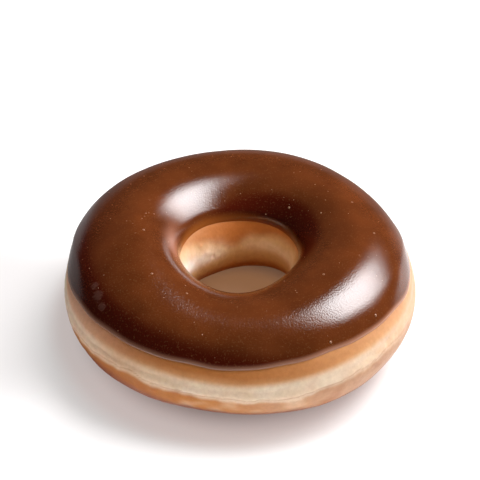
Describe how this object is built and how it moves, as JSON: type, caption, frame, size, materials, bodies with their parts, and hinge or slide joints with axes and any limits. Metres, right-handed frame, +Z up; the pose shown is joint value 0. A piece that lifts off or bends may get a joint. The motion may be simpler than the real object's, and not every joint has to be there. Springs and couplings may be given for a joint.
{
  "type": "chocolate iced doughnut",
  "caption": "Raised, fried ring of dough with a round hole through it and its top dipped in glossy chocolate icing.",
  "frame": {"origin": "on the table, under the middle of the doughnut's box", "axes": "+Z up through the hole, -Y towards the side that the picture shows in front, +X to its right"},
  "size_m": [0.0902, 0.0916, 0.0305],
  "materials": {
    "fried_dough": "fried golden skin with a thin sugar glaze, satin",
    "milk_chocolate": "set chocolate icing, glossy"
  },
  "bodies": {
    "root": {"dough_ring": "fried_dough", "chocolate_icing": "milk_chocolate"}
  },
  "joints": []
}
